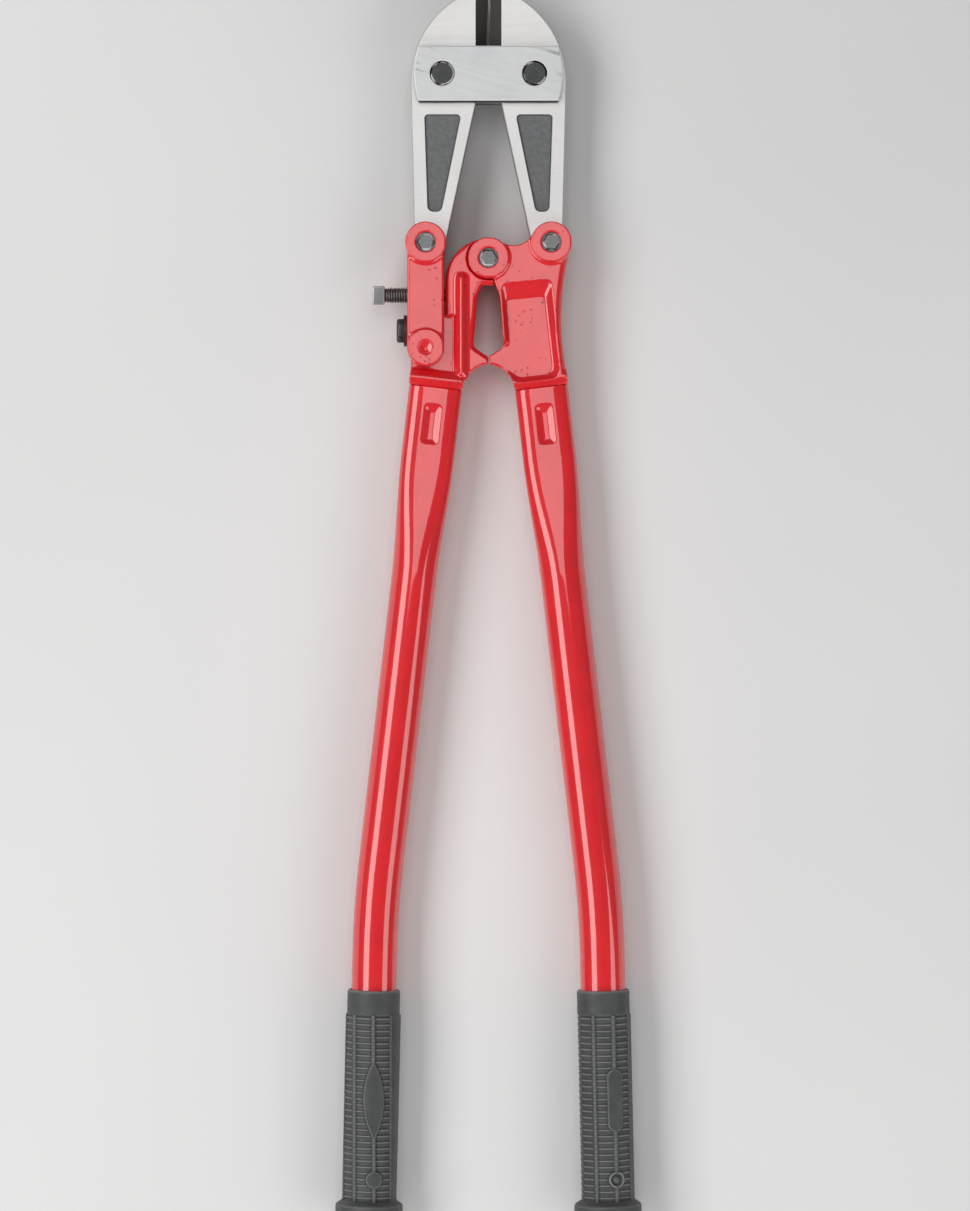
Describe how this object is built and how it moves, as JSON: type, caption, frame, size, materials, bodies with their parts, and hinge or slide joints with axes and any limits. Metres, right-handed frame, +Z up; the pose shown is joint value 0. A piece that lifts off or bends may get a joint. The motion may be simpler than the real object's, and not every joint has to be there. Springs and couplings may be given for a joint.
{
  "type": "bolt cutters",
  "caption": "Long-handled compound-lever bolt cutters with ground steel jaws under clamp plates, red cast handle heads, tube handles and ribbed rubber grips.",
  "frame": {"origin": "on the floor below the centre pivot, at the underside of the centre bolt's head", "axes": "+Y along the tool to the jaw tips, +X to the right seen from the front, +Z up to the front face"},
  "size_m": [0.1498, 0.6079, 0.033],
  "materials": {
    "jaw_steel": "ground steel with dark forged pockets",
    "plate_steel": "bright ground steel",
    "bolt_steel": "dark oiled steel",
    "red_paint": "thick gloss red paint over steel",
    "grip_rubber": "matt dark grey rubber"
  },
  "bodies": {
    "left_handle": {"left_handle_casting": "red_paint", "adjuster_link": "red_paint", "link_pivot_pin": "red_paint", "left_tang_bolt": "bolt_steel", "lock_bolt_washer": "red_paint", "left_handle_tube": "red_paint", "left_grip": "grip_rubber"},
    "right_handle": {"right_handle_casting": "red_paint", "right_tang_bolt": "bolt_steel", "centre_bolt": "bolt_steel", "right_handle_tube": "red_paint", "right_grip": "grip_rubber"},
    "left_jaw_body": {"left_jaw": "jaw_steel"},
    "right_jaw_body": {"right_jaw": "jaw_steel"},
    "clamp": {"front_clamp_plate": "plate_steel", "rear_clamp_plate": "plate_steel", "left_jaw_bolt": "bolt_steel", "right_jaw_bolt": "bolt_steel"},
    "adjusting_screw_body": {"adjusting_screw": "bolt_steel"},
    "lock_bolt_body": {"lock_bolt": "bolt_steel"}
  },
  "joints": [
    {"name": "handle_open", "type": "hinge", "parent": "left_handle", "child": "right_handle", "pos_m": [0, 0, 0.0165], "axis": [0, 0, 1], "range_deg": [0, 80]},
    {"name": "left_jaw_pivot", "type": "hinge", "parent": "left_handle", "child": "left_jaw_body", "pos_m": [-0.0305, 0.0076, 0.0165], "axis": [0, 0, 1], "range_deg": [0, 47.72]},
    {"name": "right_jaw_pivot", "type": "hinge", "parent": "right_handle", "child": "right_jaw_body", "pos_m": [0.0305, 0.0076, 0.0165], "axis": [0, 0, 1], "range_deg": [-47.72, 0]},
    {"name": "clamp_pivot", "type": "hinge", "parent": "left_jaw_body", "child": "clamp", "pos_m": [-0.0224, 0.0895, 0.0165], "axis": [0, 0, 1], "range_deg": [-7.72, 0]},
    {"name": "adjusting_screw_turn", "type": "hinge", "parent": "left_handle", "child": "adjusting_screw_body", "pos_m": [-0.0505, -0.0176, 0.0165], "axis": [1, 0, 0], "continuous": true},
    {"name": "lock_bolt_turn", "type": "hinge", "parent": "left_handle", "child": "lock_bolt_body", "pos_m": [-0.042, -0.0349, 0.0165], "axis": [1, 0, 0], "continuous": true}
  ],
  "couplings": [
    {"joint": "left_jaw_pivot", "follows": "handle_open", "ratio": 0.59525},
    {"joint": "right_jaw_pivot", "follows": "handle_open", "ratio": -0.59525},
    {"joint": "clamp_pivot", "follows": "handle_open", "ratio": -0.09525}
  ]
}
